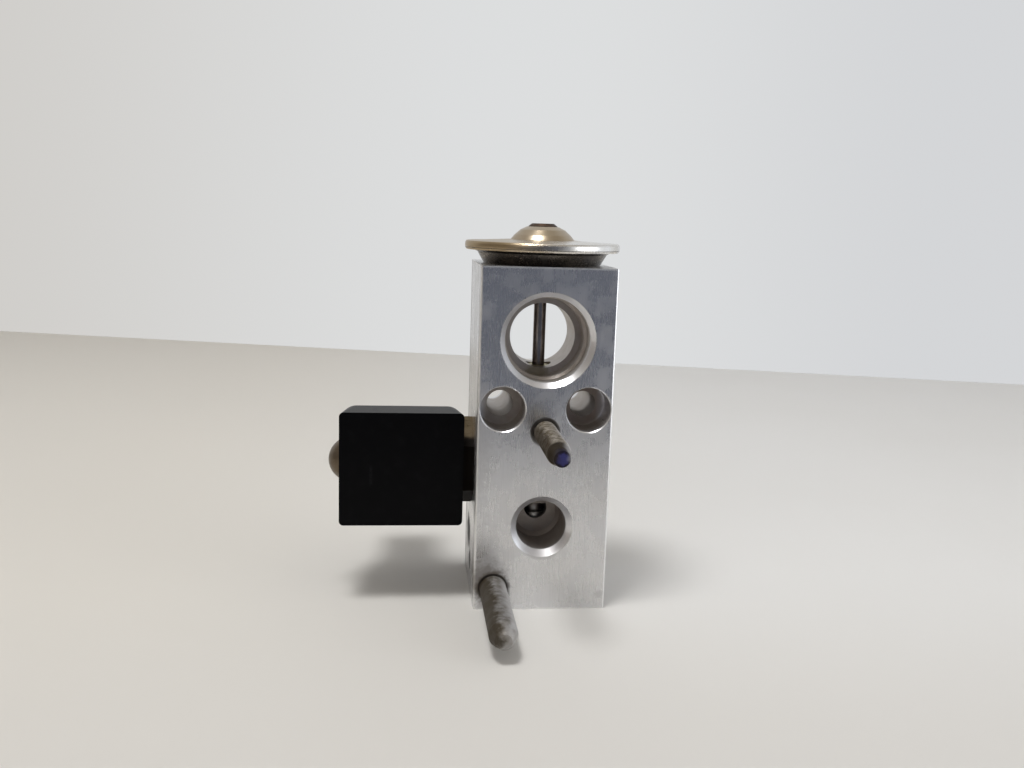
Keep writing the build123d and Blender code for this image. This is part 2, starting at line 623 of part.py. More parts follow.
def latch_ramp(base):
    """Wedge that a plug's latch snaps over, rising away from the mouth."""
    end = SOCKET_MOUTH_Y - 3.0
    start = end - LATCH_LENGTH
    outline = [(start, base - 0.1), (end, base - 0.1), (end, base), (start, base + LATCH_HEIGHT)]
    face = make_face(Polyline(*[(SOCKET_X - LATCH_WIDTH / 2, y, z) for y, z in outline], close=True))
    return extrude(face, LATCH_WIDTH, dir=(1, 0, 0))


def coil_housing():
    """Moulded coil body with its socket and the cavity for the winding."""
    body = coil_block() + connector_socket()
    body -= disc_x(CAVITY_R, CAVITY_LEFT, CAVITY_RIGHT)
    body -= disc_x(TUBE_OUTER_R + 0.3, CAVITY_RIGHT - 1, COIL_RIGHT + 1)
    body -= disc_x(CORE_STEM_R + 0.3, COIL_LEFT - 1, CAVITY_LEFT + 1)
    for x in (SOCKET_X - TERMINAL_PITCH / 2, SOCKET_X + TERMINAL_PITCH / 2):
        body -= terminal_blade(x)
    return body


def coil_yoke():
    """Steel can around the winding, with a pole plate at each end."""
    left = CAVITY_LEFT + 0.1
    right = CAVITY_RIGHT - 0.1
    can = disc_x(YOKE_R, left, right)
    can -= disc_x(YOKE_R - YOKE_WALL, left + YOKE_WALL, right - YOKE_WALL)
    return can - disc_x(TUBE_OUTER_R + 0.2, left - 1, right + 1)


def bobbin_ends():
    """Left and right ends of the bobbin."""
    return CAVITY_LEFT + YOKE_WALL + 0.2, CAVITY_RIGHT - YOKE_WALL - 0.2


def coil_bobbin():
    """Flanged bobbin that carries the winding."""
    left, right = bobbin_ends()
    flange_r = YOKE_R - YOKE_WALL - 0.15
    barrel_r = TUBE_OUTER_R + BARREL_WALL
    bobbin = disc_x(flange_r, left, left + FLANGE_THICKNESS)
    bobbin += disc_x(flange_r, right - FLANGE_THICKNESS, right)
    bobbin += disc_x(barrel_r, left, right)
    return bobbin - disc_x(TUBE_OUTER_R + 0.3, left - 1, right + 1)


def coil_winding():
    """Copper winding on the bobbin."""
    left, right = bobbin_ends()
    margin = FLANGE_THICKNESS + RUNNING
    outer = disc_x(YOKE_R - YOKE_WALL - THIN_WALL, left + margin, right - margin)
    return outer - disc_x(TUBE_OUTER_R + BARREL_WALL + RUNNING, left, right)


def retaining_cap():
    """Domed cap on the core stem that holds the coil on its tube."""
    sphere_r = (CAP_R ** 2 + CAP_HEIGHT ** 2) / (2 * CAP_HEIGHT)
    dome = Pos(COIL_LEFT - CAP_HEIGHT + sphere_r, 0, SOLENOID_Z) * Sphere(sphere_r)
    dome &= disc_x(CAP_R, COIL_LEFT - CAP_HEIGHT - 1, COIL_LEFT)
    return dome - disc_x(CORE_STEM_R + 0.05, CORE_STEM_LEFT, COIL_LEFT + 1)


# ---------------------------------------------------------------- files
def save(name, shape):
    """Write one node's STEP file."""
    shape.label = name
    export_step(shape, f"parts/{name}.step")


NODES = (
    valve_body,
    threaded_stud,
    locating_pin,
    head_lower_cup,
    head_upper_cover,
    diaphragm,
    charge_plug,
    head_seal,
    thrust_pad,
    push_rod,
    rod_guide,
    rod_seal,
    valve_ball,
    ball_carrier,
    valve_spring,
    adjusting_screw,
    adjuster_seal,
    tube_nut,
    nut_seal,
    armature_tube,
    fixed_core,
    plunger,
    plunger_seal,
    plunger_spring,
    coil_housing,
    coil_yoke,
    coil_bobbin,
    coil_winding,
    retaining_cap,
)

for build_node in NODES:
    save(build_node.__name__, build_node())

save("terminal_left", terminal_blade(SOCKET_X - TERMINAL_PITCH / 2))
save("terminal_right", terminal_blade(SOCKET_X + TERMINAL_PITCH / 2))
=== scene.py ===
"""Looks of a block-type expansion valve with a solenoid shut-off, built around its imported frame."""

import logging
import math
from dataclasses import dataclass, field
from enum import Enum
from typing import Any, Union

import bmesh
import bpy
from mathutils import Matrix, Vector

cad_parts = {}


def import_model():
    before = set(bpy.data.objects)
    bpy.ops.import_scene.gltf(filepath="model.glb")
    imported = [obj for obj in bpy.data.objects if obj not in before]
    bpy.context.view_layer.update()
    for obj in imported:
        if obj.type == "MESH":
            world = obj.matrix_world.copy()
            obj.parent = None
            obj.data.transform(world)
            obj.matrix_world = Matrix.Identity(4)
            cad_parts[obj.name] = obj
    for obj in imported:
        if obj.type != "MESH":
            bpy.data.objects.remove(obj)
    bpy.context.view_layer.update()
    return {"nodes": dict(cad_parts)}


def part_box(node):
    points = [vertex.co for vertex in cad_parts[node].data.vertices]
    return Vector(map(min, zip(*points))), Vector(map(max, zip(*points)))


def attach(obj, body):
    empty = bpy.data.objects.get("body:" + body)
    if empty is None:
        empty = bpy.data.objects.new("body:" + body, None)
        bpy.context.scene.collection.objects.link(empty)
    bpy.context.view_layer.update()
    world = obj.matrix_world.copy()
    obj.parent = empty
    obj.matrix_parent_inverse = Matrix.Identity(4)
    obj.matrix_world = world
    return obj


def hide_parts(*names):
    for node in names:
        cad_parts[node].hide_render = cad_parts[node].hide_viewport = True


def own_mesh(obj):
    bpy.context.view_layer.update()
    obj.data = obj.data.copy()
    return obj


log = logging.getLogger("valve")

MM = 0.001
ENDLESS = 1.0e6  # stretch along an axis on which distance doesn't count
MERGE = 1e-7  # vertices nearer than this are one
Colour = tuple[float, float, float]
Number = Union[float, "Wire"]


class Axis(Enum):
    """Direction in which a surface was drawn, ground or turned."""

    X = (1.0, 0.0, 0.0)
    Y = (0.0, 1.0, 0.0)
    Z = (0.0, 0.0, 1.0)
    NONE = (1.0, 1.0, 1.0)


# ---------------------------------------------------------------- shader helpers
class Wire:
    """A socket that takes part in Python arithmetic."""

    def __init__(self, graph: "Graph", socket: bpy.types.NodeSocket) -> None:
        """Keep the socket and the graph it belongs to.

        Args:
            graph: the node graph.
            socket: an output socket with a number.
        """
        self.graph = graph
        self.socket = socket

    def math(self, operation: str, first: Number, second: Number = 0.0) -> "Wire":
        """Add a Math node.

        Args:
            operation: the node's operation.
            first: first value.
            second: second value.

        Returns:
            The node's result.
        """
        node = self.graph.node("ShaderNodeMath", {"operation": operation}, {0: first, 1: second})
        return Wire(self.graph, node.outputs[0])

    def __add__(self, other: Number) -> "Wire":
        """Sum."""
        return self.math("ADD", self, other)

    __radd__ = __add__

    def __mul__(self, other: Number) -> "Wire":
        """Product."""
        return self.math("MULTIPLY", self, other)

    __rmul__ = __mul__

    def __sub__(self, other: Number) -> "Wire":
        """Difference."""
        return self.math("SUBTRACT", self, other)

    def __rsub__(self, other: Number) -> "Wire":
        """Reflected difference, so that 1 - mask works."""
        return self.math("SUBTRACT", other, self)

    def magnitude(self) -> "Wire":
        """Absolute value."""
        return self.math("ABSOLUTE", self, 0.0)

    def sine(self) -> "Wire":
        """Sine of the value."""
        return self.math("SINE", self, 0.0)

    def at_most(self, top: Number) -> "Wire":
        """The smaller of two values."""
        return self.math("MINIMUM", self, top)

    def at_least(self, other: Number) -> "Wire":
        """The larger of two values."""
        return self.math("MAXIMUM", self, other)

    def rise(self, start: float, end: float) -> "Wire":
        """Map a stretch of values smoothly to 0 to 1.

        Args:
            start: value that becomes 0.
            end: value that becomes 1, which may be below start.

        Returns:
            The mapped value, held at 0 and 1 outside the stretch.
        """
        span = {"Value": self, "From Min": start, "From Max": end, "To Min": 0.0, "To Max": 1.0}
        node = self.graph.node("ShaderNodeMapRange", {"interpolation_type": "SMOOTHSTEP"}, span)
        return Wire(self.graph, node.outputs["Result"])


class Graph:
    """A node tree that is filled by short calls."""

    def __init__(self, tree: bpy.types.NodeTree, coordinates: str = "Object") -> None:
        """Empty the tree and add its coordinates.

        Args:
            tree: the node tree.
            coordinates: which output of Texture Coordinate is used.
        """
        self.tree = tree
        self.tree.nodes.clear()
        self.coordinates = self.node("ShaderNodeTexCoord", {}, {}).outputs[coordinates]

    def node(self, kind: str, settings: dict[str, Any], values: dict[Any, Any]) -> bpy.types.Node:
        """Add one node.

        Args:
            kind: Blender's type name.
            settings: properties that are set first.
            values: sockets by name or index, each with a number, a colour, a socket or a Wire.

        Returns:
            The new node.
        """
        made = self.tree.nodes.new(kind)
        for key, value in settings.items():
            setattr(made, key, value)
        for key, value in values.items():
            self.feed(made.inputs[key], value)
        return made

    def feed(self, socket: bpy.types.NodeSocket, value: Any) -> None:
        """Set a socket or link it.

        Args:
            socket: the input.
            value: a number, a colour, a socket or a Wire.
        """
        if isinstance(value, Wire):
            value = value.socket
        if isinstance(value, bpy.types.NodeSocket):
            self.tree.links.new(value, socket)
        elif isinstance(value, tuple) and len(value) == 3 and len(socket.default_value) == 4:
            socket.default_value = (*value, 1.0)
        else:
            socket.default_value = value

    def place(self, size_mm: float, along: Axis = Axis.NONE, stretch: float = 1.0) -> bpy.types.NodeSocket:
        """Coordinates in units of a feature's size.

        Args:
            size_mm: size of a feature.
            along: direction in which the features are drawn out.
            stretch: how many times longer they are that way.

        Returns:
            The scaled coordinates.
        """
        base = 1.0 / (size_mm * MM)
        longer = (0.0, 0.0, 0.0) if along is Axis.NONE else along.value
        scale = tuple(base / stretch if part else base for part in longer)
        node = self.node("ShaderNodeMapping", {}, {"Vector": self.coordinates, "Scale": scale})
        return node.outputs["Vector"]

    def noise(
        self, size_mm: float, along: Axis = Axis.NONE, stretch: float = 1.0, detail: float = 3.0
    ) -> Wire:
        """Smooth noise around one half.

        Args:
            size_mm: size of a feature.
            along: direction in which it is drawn out.
            stretch: how many times longer it is that way.
            detail: number of finer layers.

        Returns:
            The noise value.
        """
        values = {"Vector": self.place(size_mm, along, stretch), "Scale": 1.0, "Detail": detail}
        node = self.node("ShaderNodeTexNoise", {}, values)
        return Wire(self, node.outputs[0])

    def split(self, vector: bpy.types.NodeSocket, scale: float = 1.0) -> tuple[Wire, Wire, Wire]:
        """The three parts of a vector.

        Args:
            vector: the vector's socket.
            scale: factor on each part.

        Returns:
            Its X, Y and Z.
        """
        parts = self.node("ShaderNodeSeparateXYZ", {}, {"Vector": vector}).outputs
        return tuple(Wire(self, parts[index]) * scale for index in range(3))

    def millimetres(self) -> tuple[Wire, Wire, Wire]:
        """The three object coordinates in millimetres."""
        return self.split(self.coordinates, 1.0 / MM)

    def facing(self) -> tuple[Wire, Wire, Wire]:
        """The three parts of the surface normal."""
        return self.split(self.node("ShaderNodeNewGeometry", {}, {}).outputs["Normal"])

    def distance(self, point_mm: tuple[float, float, float], stretch: tuple[float, float, float]) -> Wire:
        """Distance from a point, in millimetres.

        Args:
            point_mm: the point.
            stretch: factors that make the distance count less along each axis.

        Returns:
            The distance.
        """
        scale = tuple(1.0 / (MM * part) for part in stretch)
        place = tuple(-value / part for value, part in zip(point_mm, stretch))
        values = {"Vector": self.coordinates, "Scale": scale, "Location": place}
        moved = self.node("ShaderNodeMapping", {}, values)
        node = self.node("ShaderNodeVectorMath", {"operation": "LENGTH"}, {0: moved.outputs["Vector"]})
        return Wire(self, node.outputs["Value"])

    def mix(self, first: Any, second: Any, share: Number) -> bpy.types.NodeSocket:
        """Mix two colours.

        Args:
            first: colour or socket at share 0.
            second: colour or socket at share 1.
            share: how much of the second.

        Returns:
            The mixed colour.
        """
        node = self.node("ShaderNodeMix", {"data_type": "RGBA"}, {0: share, 6: first, 7: second})
        return node.outputs[2]


class Surface(Graph):
    """Graph of one new material, with a principled shader at its end."""

    def __init__(self, name: str) -> None:
        """Make the material.

        Args:
            name: the material's name.
        """
        self.material = bpy.data.materials.new(name)
        self.material.use_nodes = True
        super().__init__(self.material.node_tree)
        self.shader = self.node("ShaderNodeBsdfPrincipled", {}, {})
        self.output = self.node("ShaderNodeOutputMaterial", {}, {})
        self.tree.links.new(self.shader.outputs["BSDF"], self.output.inputs["Surface"])

    def finish(self, **values: Any) -> bpy.types.Material:
        """Set the shader's sockets, with underscores for the spaces in their names.

        Args:
            values: the sockets' values or links.

        Returns:
            The material.
        """
        for key, value in values.items():
            self.feed(self.shader.inputs[key.replace("_", " ")], value)
        return self.material

    def bump(self, height: Wire, depth_mm: float) -> None:
        """Raise the surface by a height value.

        Args:
            height: value from 0 to 1.
            depth_mm: height of a full step.
        """
        values = {"Height": height, "Distance": depth_mm * MM, "Strength": 1.0}
        node = self.node("ShaderNodeBump", {}, values)
        self.feed(self.shader.inputs["Normal"], node.outputs["Normal"])


@dataclass
class Look:
    """What a metal's base layers come to before its dirt and paint.

    Attributes:
        colour: colour socket.
        metallic: metallic value.
        roughness: roughness value.
    """

    colour: Any
    metallic: Wire
    roughness: Wire

    def cover(self, graph: Graph, colour: Any, share: Wire, metallic: float, roughness: float) -> None:
        """Lay another finish over part of the surface.

        Args:
            graph: the material graph.
            colour: colour of the new layer.
            share: where it lies, from 0 to 1.
            metallic: its metallic value.
            roughness: its roughness.
        """
        self.colour = graph.mix(self.colour, colour, share)
        self.metallic = self.metallic * (1 - share) + share * metallic
        self.roughness = self.roughness * (1 - share) + share * roughness


# ---------------------------------------------------------------- finishes
@dataclass(frozen=True)
class Stain:
    """A soft dirty or discoloured place on a surface.

    Attributes:
        centre: its middle, in millimetres.
        inner: radius inside which it is full.
        outer: radius at which it ends.
        strength: how much it covers, from 0 to 1.
        colour: its colour.
        stretch: how much longer it is along each axis.
        ragged: how uneven its edge is, as a share of its soft border.
        metallic: its metallic value.
    """

    centre: tuple[float, float, float]
    inner: float
    outer: float
    strength: float
    colour: Colour = (0.05, 0.04, 0.03)
    stretch: tuple[float, float, float] = (1.0, 1.0, 1.0)
    ragged: float = 1.6
    metallic: float = 0.2

    def lay(self, graph: Surface, look: Look) -> None:
        """Lay the stain over a look.

        Args:
            graph: the material graph.
            look: the look that is changed.
        """
        uneven = (graph.noise(1.4) - 0.5) * ((self.outer - self.inner) * self.ragged)
        distance = graph.distance(self.centre, self.stretch) + uneven
        share = distance.rise(self.outer, self.inner) * self.strength
        look.cover(graph, self.colour, share, self.metallic, 0.6)


@dataclass(frozen=True)
class Metal:
    """A metal surface with slow colour patches, grain, pits and stains.

    Attributes:
        name: material name.
        colour: main colour.
        tint: colour of the slow patches.
        roughness: mean roughness.
        grain: direction of the drawing or turning marks.
        grain_mm: width of a mark.
        grain_depth_mm: depth of a mark.
        patch_mm: size of a patch.
        pits: share of small dark pits, 0 for none.
        pit_colour: colour of pits and smudges.
        stains: discoloured places.
        shine: share of clean metal, below 1 where a film dulls it.
        film_gloss: gloss of the film and the dirt, 0.5 for common paint.
    """

    name: str
    colour: Colour
    tint: Colour
    roughness: float = 0.35
    grain: Axis = Axis.NONE
    grain_mm: float = 0.18
    grain_depth_mm: float = 0.006
    patch_mm: float = 5.0
    pits: float = 0.0
    pit_colour: Colour = (0.05, 0.04, 0.03)
    stains: tuple[Stain, ...] = ()
    shine: float = 1.0
    film_gloss: float = 0.5

    def overlay(self, graph: Surface, look: Look) -> None:
        """Add what only one kind of metal has; nothing here."""

    def build(self) -> bpy.types.Material:
        """Make the material.

        Returns:
            The finished material.
        """
        graph = Surface(self.name)
        patches = graph.noise(self.patch_mm).rise(0.35, 0.7)
        grain = graph.noise(self.grain_mm, self.grain, 40.0)
        smudge = graph.noise(self.patch_mm * 0.35).rise(0.4, 0.75)
        darker = tuple(0.8 * part for part in self.colour)
        base = graph.mix(graph.mix(self.colour, self.tint, patches), darker, grain.rise(0.4, 0.8) * 0.35)
        rough = self.roughness + (grain - 0.5) * 0.16 + (smudge - 0.5) * 0.08
        look = Look(base, self.shine - smudge * 0.04, rough)
        if self.pits:
            share = graph.noise(0.45).rise(0.72 - 0.25 * self.pits, 0.8) * self.pits
            look.cover(graph, self.pit_colour, share, 0.3, 0.6)
        self.overlay(graph, look)
        for stain in self.stains:
            stain.lay(graph, look)
        graph.bump(grain, self.grain_depth_mm)
        return graph.finish(
            Base_Color=look.colour,
            Metallic=look.metallic,
            Roughness=look.roughness,
            Specular_IOR_Level=self.film_gloss,
        )


@dataclass(frozen=True)
class BlockMetal(Metal):
    """Satin aluminium of the block, streaked on its sides and dull in its bores.

    Attributes:
        half_width: half the block's width, in millimetres.
        half_depth: half its depth.
        height: its height.
        streak: colour of the streaks on the sides.
        bore: colour inside the bores.
        edge: colour of the edges, wear with a painted highlight.
        chamfer: colour of the turned chamfers.
    """

    half_width: float = 17.5
    half_depth: float = 18.0
    height: float = 90.0
    streak: Colour = (0.09, 0.08, 0.065)
    bore: Colour = (0.42, 0.365, 0.315)
    edge: Colour = (0.88, 0.87, 0.85)
    chamfer: Colour = (0.84, 0.84, 0.86)

    def overlay(self, graph: Surface, look: Look) -> None:
        """Add the film in the bores, the bright chamfers, the streaks on the sides and the edges' wear
        with their painted highlight.

        Args:
            graph: the material graph.
            look: the look that is changed.
        """
        x, y, z = graph.millimetres()
        across, _, _ = graph.facing()
        from_side = self.half_width - x.magnitude()
        from_face = self.half_depth - y.magnitude()
        from_end = self.height / 2 - (z - self.height / 2).magnitude()
        nearer = from_side.at_most(from_face)
        depth = nearer.at_most(from_end)
        from_edge = nearer.at_least(from_side.at_least(from_face).at_most(from_end))
        film = depth.rise(1.5, 3.2) * (0.55 + graph.noise(2.6) * 0.5).at_most(0.95)
        look.cover(graph, self.bore, film, 0.75, 0.42)
        turned = depth.rise(0.03, 0.15) * depth.rise(1.7, 1.5)
        look.cover(graph, self.chamfer, turned * 0.85, 1.0, 0.32)
        side = across.magnitude().rise(0.7, 0.95) * depth.rise(0.3, 0.1)
        wide = graph.noise(2.2, Axis.Z, 16.0, 2.0).rise(0.5, 0.62)
        narrow = graph.noise(0.7, Axis.Z, 40.0, 1.0).rise(0.52, 0.62)
        look.cover(graph, self.streak, (wide * 0.16 + narrow * 0.28) * side, 0.7, 0.36)
        # wear and painted highlight: the block's edges are lightened
        wear_and_highlight = from_edge.rise(0.6, 0.2) * graph.noise(1.2, Axis.Z, 4.0).rise(0.2, 0.5)
        look.cover(graph, self.edge, wear_and_highlight * 0.5, 0.6, 0.4)


@dataclass(frozen=True)
class BronzeShadedLeft(Metal):
    """Stamped sheet with a bronze tint that is full on the left and fades to the right, so the left side
    is painted darker as shade.

    Attributes:
        bronze: colour of the tint.
        start_mm: X where it is full.
        end_mm: X where it has faded.
        dome_mm: radius of the dome, which is tinted all over.
    """

    bronze: Colour = (0.36, 0.26, 0.135)
    start_mm: float = -14.0
    end_mm: float = 9.0
    dome_mm: float = 9.0

    def overlay(self, graph: Surface, look: Look) -> None:
        """Add the tint, which also paints the left side darker as shade.

        Args:
            graph: the material graph.
            look: the look that is changed.
        """
        x, _, _ = graph.millimetres()
        uneven = (graph.noise(7.0) - 0.5) * 16.0
        # tint and painted shade: darker bronze on the left side, plain steel on the right; the dome is
        # tinted all over
        tint_and_shade = (x + uneven).rise(self.end_mm, self.start_mm) * 0.9
        from_axis = graph.distance((0.0, 0.0, 0.0), (1.0, 1.0, ENDLESS))
        domed = from_axis.rise(self.dome_mm + 2.0, self.dome_mm) * 0.75
        look.cover(graph, self.bronze, tint_and_shade.at_least(domed), 1.0, 0.3)


@dataclass(frozen=True)
class StudMetal(Metal):
    """Weathered steel of the clamp stud, with thread roots darkened by dirt and painted shade, and a
    painted end.

    Attributes:
        axis_z: height of the stud's axis, in millimetres.
        root_r: radius of the thread's root.
        crest_r: radius of its crest.
        paint_y: where the paint begins.
        paint: its colour.
        paint_edge: its colour round the rim of the end.
    """

    axis_z: float = 47.9
    root_r: float = 2.55
    crest_r: float = 3.0
    paint_y: float = -46.0
    paint: Colour = (0.045, 0.045, 0.15)
    paint_edge: Colour = (0.016, 0.013, 0.022)

    def overlay(self, graph: Surface, look: Look) -> None:
        """Add the dirt and painted shade in the thread roots, and the paint.

        Args:
            graph: the material graph.
            look: the look that is changed.
        """
        _, y, _ = graph.millimetres()
        radius = graph.distance((0.0, 0.0, self.axis_z), (1.0, ENDLESS, 1.0))
        # dirt and painted shade: the thread roots are darkened
        root = radius.rise(self.crest_r - 0.05, self.root_r + 0.02)
        look.cover(graph, (0.022, 0.016, 0.010), root * 0.95, 0.2, 0.6)
        edge = y + (graph.noise(0.8) - 0.5) * 0.8
        painted = edge.rise(self.paint_y + 0.2, self.paint_y - 0.1)
        rim = (radius + (graph.noise(0.7) - 0.5) * 1.4).rise(0.42 * self.root_r, 0.66 * self.root_r)
        look.cover(graph, graph.mix(self.paint, self.paint_edge, rim), painted, 0.1, 0.35)


@dataclass(frozen=True)
class Plastic:
    """A matt moulded plastic or rubber.

    Attributes:
        name: material name.
        colour: main colour.
        dust: colour of handling marks.
        roughness: mean roughness.
        texture_mm: size of the moulded grain.
        depth_mm: its depth.
        scratch: middle of a light vertical scratch, or None.
        gloss: strength of the reflection, 0.5 for common plastic.
    """

    name: str
    colour: Colour
    dust: Colour
    roughness: float = 0.5
    texture_mm: float = 0.22
    depth_mm: float = 0.008
    scratch: tuple[float, float, float] | None = None
    gloss: float = 0.5

    def scratch_mask(self, graph: Surface) -> Wire:
        """The scratch's share at each point.

        Args:
            graph: the material graph.

        Returns:
            A value from 0 to 1.
        """
        x, y, z = graph.millimetres()
        across = (x - self.scratch[0] + (graph.noise(0.8) - 0.5) * 0.5).magnitude()
        along = (z - self.scratch[2]).magnitude()
        face = (y - self.scratch[1]).magnitude().rise(1.0, 0.4)
        return across.rise(0.5, 0.15) * along.rise(2.9, 1.8) * face * graph.noise(0.35).rise(0.3, 0.6)

    def build(self) -> bpy.types.Material:
        """Make the material.

        Returns:
            The finished material.
        """
        graph = Surface(self.name)
        marks = graph.noise(3.0).rise(0.5, 0.8) * 0.35 + graph.noise(0.6).rise(0.62, 0.8) * 0.25
        if self.scratch is not None:
            marks = marks + self.scratch_mask(graph) * 1.6
        texture = graph.noise(self.texture_mm)
        graph.bump(texture, self.depth_mm)
        return graph.finish(
            Base_Color=graph.mix(self.colour, self.dust, marks.at_most(1.0)),
            Roughness=self.roughness + (texture - 0.5) * 0.15 + marks * 0.12,
            IOR=1.48,
            Specular_IOR_Level=self.gloss,
        )


@dataclass(frozen=True)
class Winding:
    """Enamelled copper wire laid turn beside turn.

    Attributes:
        name: material name.
        wire_mm: wire thickness.
    """

    name: str
    wire_mm: float = 0.35

    def build(self) -> bpy.types.Material:
        """Make the material.

        Returns:
            The finished material.
        """
        graph = Surface(self.name)
        x, _, _ = graph.millimetres()
        ridge = (x * (math.pi / self.wire_mm)).sine().magnitude()
        graph.bump(ridge, 0.12)
        return graph.finish(
            Base_Color=graph.mix((0.28, 0.09, 0.03), (0.62, 0.28, 0.12), ridge),
            Metallic=0.9,
            Roughness=0.3 + graph.noise(1.0) * 0.2,
        )


# ---------------------------------------------------------------- mesh helpers
def new_piece(
    name: str, mesh: bmesh.types.BMesh, body: str, smooth_deg: float = 30.0
) -> bpy.types.Object:
    """Turn a bmesh into a piece that rides on a body.

    Args:
        name: object name.
        mesh: the finished bmesh, which is freed.
        body: the body it moves with.
        smooth_deg: edges flatter than this are shaded smooth.

    Returns:
        The new object.
    """
    bmesh.ops.remove_doubles(mesh, verts=mesh.verts, dist=MERGE)
    bmesh.ops.recalc_face_normals(mesh, faces=mesh.faces)
    data = bpy.data.meshes.new(name)
    mesh.to_mesh(data)
    mesh.free()
    piece = bpy.data.objects.new(name, data)
    bpy.context.scene.collection.objects.link(piece)
    data.shade_smooth()
    data.set_sharp_from_angle(angle=math.radians(smooth_deg))
    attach(piece, body)
    return piece


def spun(
    outline: list[tuple[float, float]], centre: Vector, axis: Vector, steps: int = 96
) -> bmesh.types.BMesh:
    """Spin an outline round an axis.

    Args:
        outline: radius and height pairs, in metres.
        centre: where height is 0.
        axis: unit vector of the axis.
        steps: number of facets.

    Returns:
        The turned shape.
    """
    mesh = bmesh.new()
    side = axis.orthogonal().normalized()
    verts = [mesh.verts.new(centre + side * radius + axis * height) for radius, height in outline]
    for first, second in zip(verts, verts[1:]):
        mesh.edges.new((first, second))
    geometry = list(mesh.verts) + list(mesh.edges)
    bmesh.ops.spin(
        mesh, geom=geometry, cent=centre, axis=axis, angle=2 * math.pi, steps=steps, use_merge=True
    )
    bmesh.ops.remove_doubles(mesh, verts=mesh.verts, dist=MERGE)
    return mesh


def rubber(name: str) -> Plastic:
    """Black rubber of a seal."""
    return Plastic(name, (0.015, 0.015, 0.015), (0.05, 0.05, 0.05))


class SubAssembly:
    """A group of pieces that is built and dressed together."""

    nodes: dict[str, bpy.types.Object]

    def paint(self, node: str, finish: Any) -> None:
        """Give a carried-over node its finish.

        Args:
            node: the node's name.
            finish: an object with a build method.
        """
        piece = self.nodes[node]
        piece.data.materials.clear()
        piece.data.materials.append(finish.build())
        log.info("dressed %s", node)

    def finish_piece(self, piece: bpy.types.Object, finish: Any) -> None:
        """Give a new piece its finish.

        Args:
            piece: the object.
            finish: an object with a build method.
        """
        piece.data.materials.append(finish.build())
        log.info("built %s", piece.name)


@dataclass
class Block(SubAssembly):
    """The aluminium block.

    Attributes:
        nodes: CAD nodes by name.
        stud_z: height of the clamp stud, in millimetres.
        stud_sink: radius of its countersink.
        pin_x: place of the locating pin across the face.
        pin_z: its height.
        suction_z: height of the suction passage.
        bolt_x: distance of the mounting holes from the middle.
        bolt_z: their height.
    """

    nodes: dict[str, bpy.types.Object]
    stud_z: float = 47.9
    stud_sink: float = 3.9
    pin_x: float = -12.4
    pin_z: float = 6.0
    suction_z: float = 71.5
    bolt_x: float = 11.05
    bolt_z: float = 53.75
    low: Vector = field(init=False)
    high: Vector = field(init=False)

    def __post_init__(self) -> None:
        """Read the block's box."""
        self.low, self.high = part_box("valve_body")

    def stains(self) -> tuple[Stain, ...]:
        """The block's dirty places and its wear, with painted shade round the stud and a painted
        reflection in the right mounting hole.

        Returns:
            The stains, in the order in which they lie.
        """
        front = self.low.y / MM
        left = self.low.x / MM
        grime_and_shade = (0.075, 0.058, 0.042)
        smear = (0.022, 0.018, 0.016)
        oil = (0.20, 0.17, 0.10)
        sink = self.stud_sink
        deep = (1.0, 2.0, 1.0)
        upright = (1.0, 1.0, 70.0)
        return (
            # painted shade: dark ring round the stud where its countersink lies in shade
            Stain((0.0, front, self.stud_z), sink - 0.5, sink + 0.25, 0.9, grime_and_shade, ragged=0.4),
            Stain((self.pin_x, front, self.pin_z), 3.8, 5.0, 0.85, (0.045, 0.036, 0.028), ragged=1.2),
            Stain((self.pin_x - 2.0, front, self.pin_z + 2.0), 2.5, 7.0, 0.7, (0.15, 0.125, 0.10)),
            Stain((self.pin_x, front, 1.0), 1.0, 5.0, 0.35, (0.2, 0.17, 0.14)),
            Stain((15.9, front, 4.0), 0.6, 1.3, 0.16, grime_and_shade, (1.4, 1.0, 1.0), 0.8),
            Stain((left, 4.0, 15.0), 2.2, 4.2, 0.97, smear, (1.0, 1.7, 1.3)),
            Stain((left, -2.0, 8.0), 1.2, 3.4, 0.9, smear, (1.0, 1.5, 1.2)),
            Stain((left, 15.5, 45.0), 0.25, 1.3, 0.6, grime_and_shade, upright, 0.8),
            Stain((left, -15.6, 45.0), 0.25, 1.4, 0.55, grime_and_shade, upright, 0.8),
            Stain((left, -12.5, 9.0), 0.8, 4.5, 0.6, grime_and_shade, (1.0, 0.7, 1.6)),
            Stain((0.0, -9.0, 20.0), 6.8, 8.2, 0.35, (0.16, 0.135, 0.12), deep, 0.3),
            # painted reflection: brown and darker inside the right mounting hole
            Stain((self.bolt_x, -10.0, self.bolt_z), 5.0, 6.2, 0.6, (0.13, 0.085, 0.065), deep, 0.5),
            Stain((-self.bolt_x, -10.0, self.bolt_z), 5.0, 6.2, 0.3, (0.20, 0.165, 0.125), deep, 0.5),
            Stain((left, 4.0, 40.0), 1.0, 6.0, 0.5, grime_and_shade, (1.0, 0.7, 2.6)),
            Stain((-1.5, -7.0, self.suction_z - 9.6), 1.6, 4.2, 0.7, oil, (1.0, 1.2, 0.6)),
            Stain((left + 1.0, front, 45.0), 1.0, 9.0, 0.15, grime_and_shade, (0.5, 1.0, 3.0)),
        )

    def dress(self) -> None:
        """Paint the block."""
        finish = BlockMetal(
            "block_aluminium",
            colour=(0.74, 0.74, 0.755),
            tint=(0.72, 0.715, 0.72),
            roughness=0.3,
            grain=Axis.Z,
            grain_mm=0.16,
            grain_depth_mm=0.002,
            patch_mm=14.0,
            stains=self.stains(),
            half_width=(self.high.x - self.low.x) / 2 / MM,
            half_depth=(self.high.y - self.low.y) / 2 / MM,
            height=(self.high.z - self.low.z) / MM,
        )
        self.paint("valve_body", finish)


